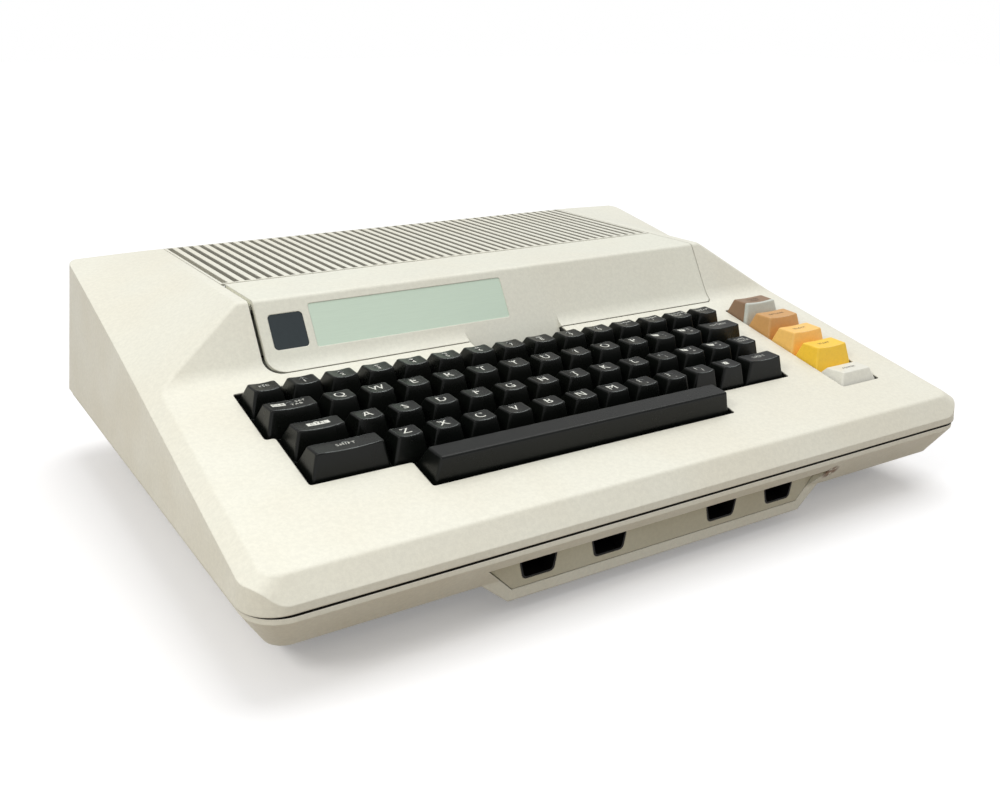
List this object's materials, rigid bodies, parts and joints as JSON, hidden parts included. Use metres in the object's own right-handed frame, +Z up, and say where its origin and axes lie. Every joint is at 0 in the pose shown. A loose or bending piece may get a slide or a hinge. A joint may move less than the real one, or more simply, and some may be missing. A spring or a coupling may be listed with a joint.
{
  "type": "vintage home computer",
  "caption": "Low wedge-shaped home computer with a full keyboard, coloured console keys, a hinged cartridge door, a vented lid and controller ports.",
  "frame": {"origin": "centre of the case's footprint, on the surface that it stands on", "axes": "+X to the user's right, +Y to the rear, +Z up; the front faces -Y"},
  "size_m": [0.4112, 0.3104, 0.114],
  "materials": {
    "case": "fine-grained beige moulded plastic",
    "door": "fine-grained beige moulded plastic",
    "badge": "glossy dark blue-grey plate",
    "nameplate": "satin pale green plate",
    "keys": "dark brown-black moulded plastic",
    "reset_brown": "brown moulded plastic",
    "reset_front": "pale grey moulded plastic",
    "console_orange": "orange-brown moulded plastic",
    "console_amber": "amber moulded plastic",
    "console_yellow": "yellow moulded plastic",
    "lamp": "milky translucent lens",
    "panel": "brown-grey moulded plastic",
    "port_shell": "black moulded plastic",
    "dark_plastic": "black moulded plastic",
    "white_plastic": "white moulded plastic",
    "board": "green lacquered board",
    "capacitor": "blue sleeve",
    "cast_metal": "cast aluminium",
    "aluminium": "extruded aluminium",
    "steel": "zinc-plated steel",
    "rubber": "matt black rubber"
  },
  "bodies": {
    "case": {"top_case": "case", "bottom_case": "case", "vent_lid": "case", "door_hinge_pins": "steel", "key_plate": "steel", "key_switches": "dark_plastic", "key_board": "board", "power_lamp": "lamp", "main_board": "board", "chips": "dark_plastic", "processor_board": "board", "cast_shield": "cast_metal", "cartridge_well": "dark_plastic", "cartridge_sockets": "dark_plastic", "memory_modules": "dark_plastic", "memory_sockets": "dark_plastic", "power_board": "board", "filter_capacitors": "capacitor", "heat_sink": "aluminium", "loudspeaker": "steel", "interlock_switch": "dark_plastic", "port_panel": "panel", "controller_ports": "port_shell", "peripheral_connector": "port_shell", "monitor_socket": "port_shell", "power_jack": "port_shell", "power_switch_housing": "dark_plastic", "channel_switch_housing": "dark_plastic", "cable_gland": "rubber", "rubber_feet": "rubber", "case_screws": "steel", "plate_screws": "steel"},
    "door": {"cartridge_door": "door", "badge_plate": "badge", "name_plate": "nameplate"},
    "latch_left": {"lid_latch_left": "dark_plastic"},
    "latch_right": {"lid_latch_right": "dark_plastic"},
    "interlock": {"interlock_plunger": "white_plastic"},
    "power_lever": {"power_switch_lever": "dark_plastic"},
    "channel_lever": {"channel_switch_lever": "dark_plastic"},
    "reset": {"reset_key": "reset_brown", "reset_key_front": "reset_front"},
    "body_key_escape": {"key_escape": "keys"},
    "body_key_backspace": {"key_backspace": "keys"},
    "body_key_break": {"key_break": "keys"},
    "body_key_tab": {"key_tab": "keys"},
    "body_key_return": {"key_return": "keys"},
    "body_key_control": {"key_control": "keys"},
    "body_key_caps": {"key_caps": "keys"},
    "body_key_shift_left": {"key_shift_left": "keys"},
    "body_key_shift_right": {"key_shift_right": "keys"},
    "body_space_bar": {"space_bar": "keys"},
    "body_console_key_orange": {"console_key_orange": "console_orange"},
    "body_console_key_amber": {"console_key_amber": "console_amber"},
    "body_console_key_yellow": {"console_key_yellow": "console_yellow"},
    "body_keys_number_row": {"keys_number_row": "keys"},
    "body_keys_upper_row": {"keys_upper_row": "keys"},
    "body_keys_home_row": {"keys_home_row": "keys"},
    "body_keys_lower_row": {"keys_lower_row": "keys"}
  },
  "joints": [
    {"name": "door_hinge", "type": "hinge", "parent": "case", "child": "door", "pos_m": [0, 0.0468, 0.1124], "axis": [-1, 0, 0], "range_deg": [0, 90]},
    {"name": "latch_left_turn", "type": "hinge", "parent": "case", "child": "latch_left", "pos_m": [-0.124, 0.038, 0.0995], "axis": [0, 0, -1], "range_deg": [0, 90]},
    {"name": "latch_right_turn", "type": "hinge", "parent": "case", "child": "latch_right", "pos_m": [0.124, 0.038, 0.0995], "axis": [0, 0, 1], "range_deg": [0, 90]},
    {"name": "interlock_slide", "type": "slide", "parent": "case", "child": "interlock", "axis": [0, 0, 1], "range_m": [0, 0.0025]},
    {"name": "power_slide", "type": "slide", "parent": "case", "child": "power_lever", "axis": [0, 1, 0], "range_m": [0, 0.0055]},
    {"name": "channel_slide", "type": "slide", "parent": "case", "child": "channel_lever", "axis": [0, 1, 0], "range_m": [0, 0.004]},
    {"name": "reset_press", "type": "slide", "parent": "case", "child": "reset", "axis": [0, 0.2178, -0.976], "range_m": [0, 0.0038], "stiffness_N_per_m": 200, "springref_m": -0.002},
    {"name": "key_escape_press", "type": "slide", "parent": "case", "child": "body_key_escape", "axis": [0, 0.2178, -0.976], "range_m": [0, 0.0038], "stiffness_N_per_m": 200, "springref_m": -0.002},
    {"name": "key_backspace_press", "type": "slide", "parent": "case", "child": "body_key_backspace", "axis": [0, 0.2178, -0.976], "range_m": [0, 0.0038], "stiffness_N_per_m": 200, "springref_m": -0.002},
    {"name": "key_break_press", "type": "slide", "parent": "case", "child": "body_key_break", "axis": [0, 0.2178, -0.976], "range_m": [0, 0.0038], "stiffness_N_per_m": 200, "springref_m": -0.002},
    {"name": "key_tab_press", "type": "slide", "parent": "case", "child": "body_key_tab", "axis": [0, 0.2178, -0.976], "range_m": [0, 0.0038], "stiffness_N_per_m": 200, "springref_m": -0.002},
    {"name": "key_return_press", "type": "slide", "parent": "case", "child": "body_key_return", "axis": [0, 0.2178, -0.976], "range_m": [0, 0.0038], "stiffness_N_per_m": 200, "springref_m": -0.002},
    {"name": "key_control_press", "type": "slide", "parent": "case", "child": "body_key_control", "axis": [0, 0.2178, -0.976], "range_m": [0, 0.0038], "stiffness_N_per_m": 200, "springref_m": -0.002},
    {"name": "key_caps_press", "type": "slide", "parent": "case", "child": "body_key_caps", "axis": [0, 0.2178, -0.976], "range_m": [0, 0.0038], "stiffness_N_per_m": 200, "springref_m": -0.002},
    {"name": "key_shift_left_press", "type": "slide", "parent": "case", "child": "body_key_shift_left", "axis": [0, 0.2178, -0.976], "range_m": [0, 0.0038], "stiffness_N_per_m": 200, "springref_m": -0.002},
    {"name": "key_shift_right_press", "type": "slide", "parent": "case", "child": "body_key_shift_right", "axis": [0, 0.2178, -0.976], "range_m": [0, 0.0038], "stiffness_N_per_m": 200, "springref_m": -0.002},
    {"name": "space_bar_press", "type": "slide", "parent": "case", "child": "body_space_bar", "axis": [0, 0.2178, -0.976], "range_m": [0, 0.0038], "stiffness_N_per_m": 200, "springref_m": -0.002},
    {"name": "console_key_orange_press", "type": "slide", "parent": "case", "child": "body_console_key_orange", "axis": [0, 0.2178, -0.976], "range_m": [0, 0.0038], "stiffness_N_per_m": 200, "springref_m": -0.002},
    {"name": "console_key_amber_press", "type": "slide", "parent": "case", "child": "body_console_key_amber", "axis": [0, 0.2178, -0.976], "range_m": [0, 0.0038], "stiffness_N_per_m": 200, "springref_m": -0.002},
    {"name": "console_key_yellow_press", "type": "slide", "parent": "case", "child": "body_console_key_yellow", "axis": [0, 0.2178, -0.976], "range_m": [0, 0.0038], "stiffness_N_per_m": 200, "springref_m": -0.002},
    {"name": "keys_number_row_press", "type": "slide", "parent": "case", "child": "body_keys_number_row", "axis": [0, 0.2178, -0.976], "range_m": [0, 0.0038], "stiffness_N_per_m": 200, "springref_m": -0.002},
    {"name": "keys_upper_row_press", "type": "slide", "parent": "case", "child": "body_keys_upper_row", "axis": [0, 0.2178, -0.976], "range_m": [0, 0.0038], "stiffness_N_per_m": 200, "springref_m": -0.002},
    {"name": "keys_home_row_press", "type": "slide", "parent": "case", "child": "body_keys_home_row", "axis": [0, 0.2178, -0.976], "range_m": [0, 0.0038], "stiffness_N_per_m": 200, "springref_m": -0.002},
    {"name": "keys_lower_row_press", "type": "slide", "parent": "case", "child": "body_keys_lower_row", "axis": [0, 0.2178, -0.976], "range_m": [0, 0.0038], "stiffness_N_per_m": 200, "springref_m": -0.002}
  ],
  "couplings": [
    {"joint": "interlock_slide", "follows": "door_hinge", "m_per_rad": 0.00159}
  ]
}
